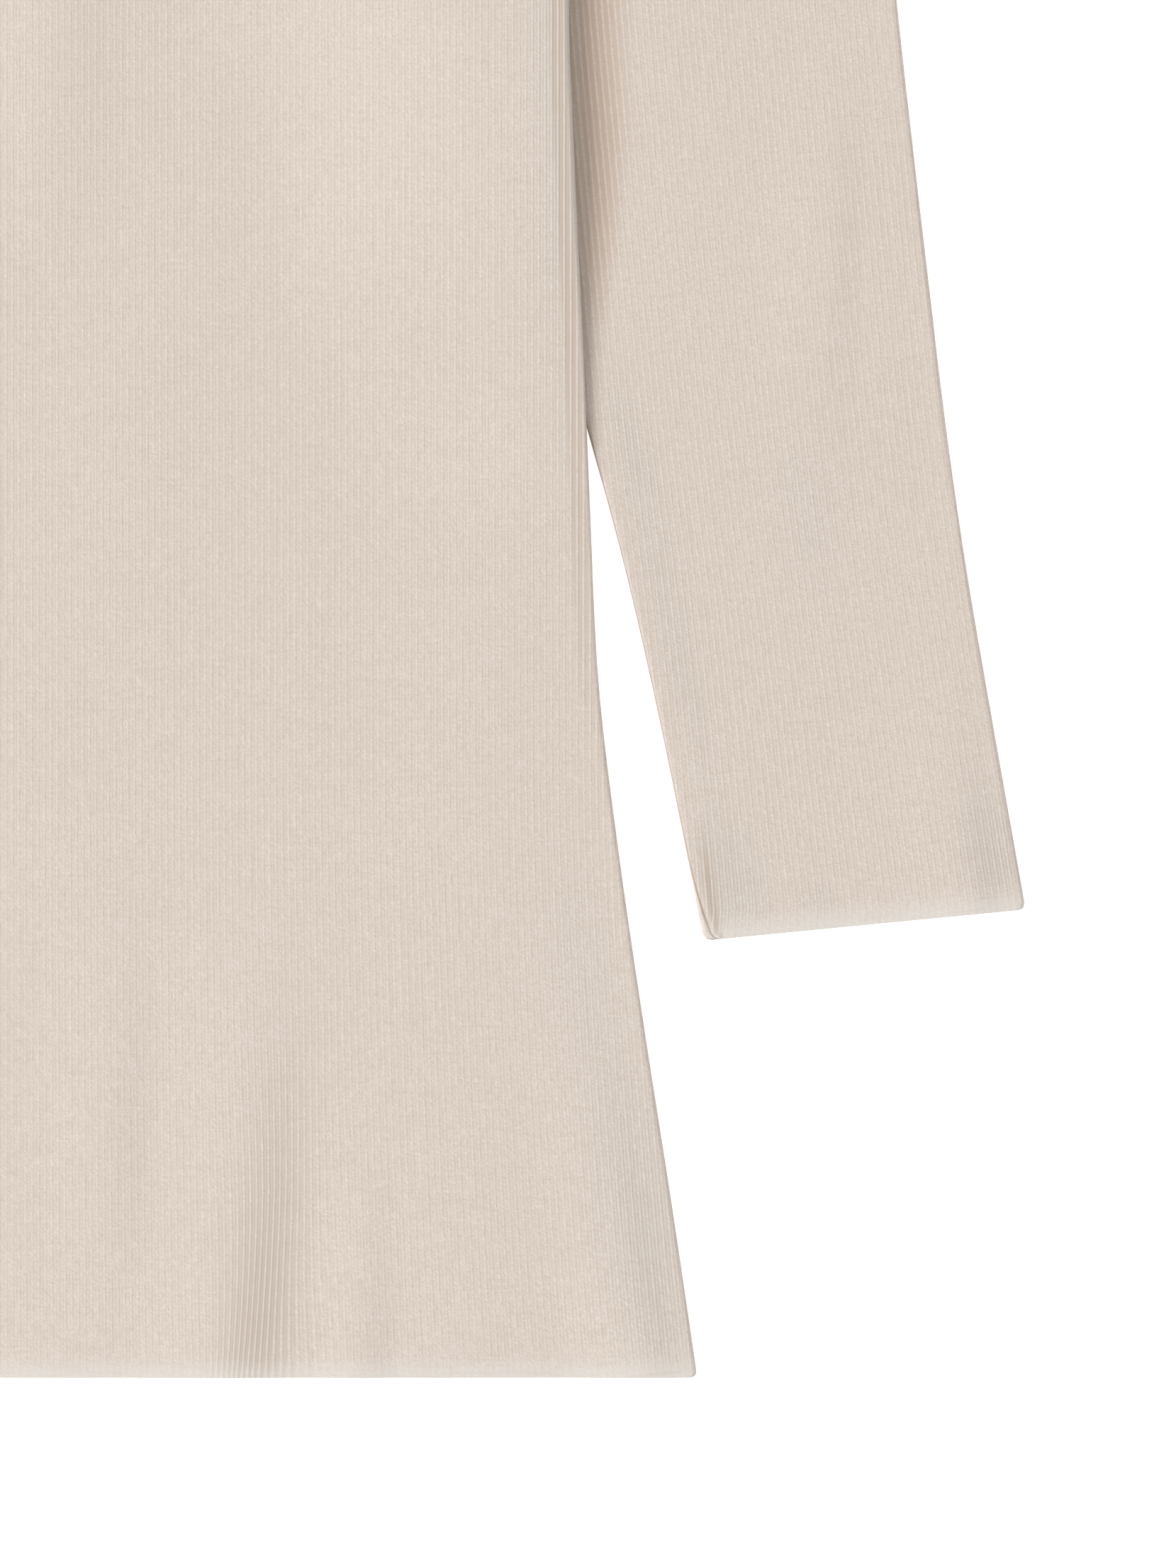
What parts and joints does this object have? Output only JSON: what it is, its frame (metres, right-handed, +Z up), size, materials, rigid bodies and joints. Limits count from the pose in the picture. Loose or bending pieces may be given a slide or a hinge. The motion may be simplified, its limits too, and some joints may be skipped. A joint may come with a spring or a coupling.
{
  "type": "long-sleeved t-shirt laid flat",
  "caption": "Long-sleeved fine-rib t-shirt laid flat: front and back panels with a flared straight hem, sleeves lying beside and partly under the body, and a crew neckband.",
  "frame": {"origin": "on the surface the shirt lies on, under the middle of its box", "axes": "+Z up from the surface, +Y from the hem to the neck, +X to the wearer's left, which is the viewer's right"},
  "size_m": [0.5922, 0.808, 0.0112],
  "materials": {
    "rib_knit": "fine oatmeal rib knit, matt, with faint crosswise slubs",
    "neck_rib": "the same oatmeal knit in a doubled band, matt"
  },
  "bodies": {
    "root": {"front": "rib_knit", "back": "rib_knit", "sleeve_left": "rib_knit", "sleeve_right": "rib_knit", "neckband_front": "neck_rib", "neckband_back": "neck_rib"}
  },
  "joints": []
}
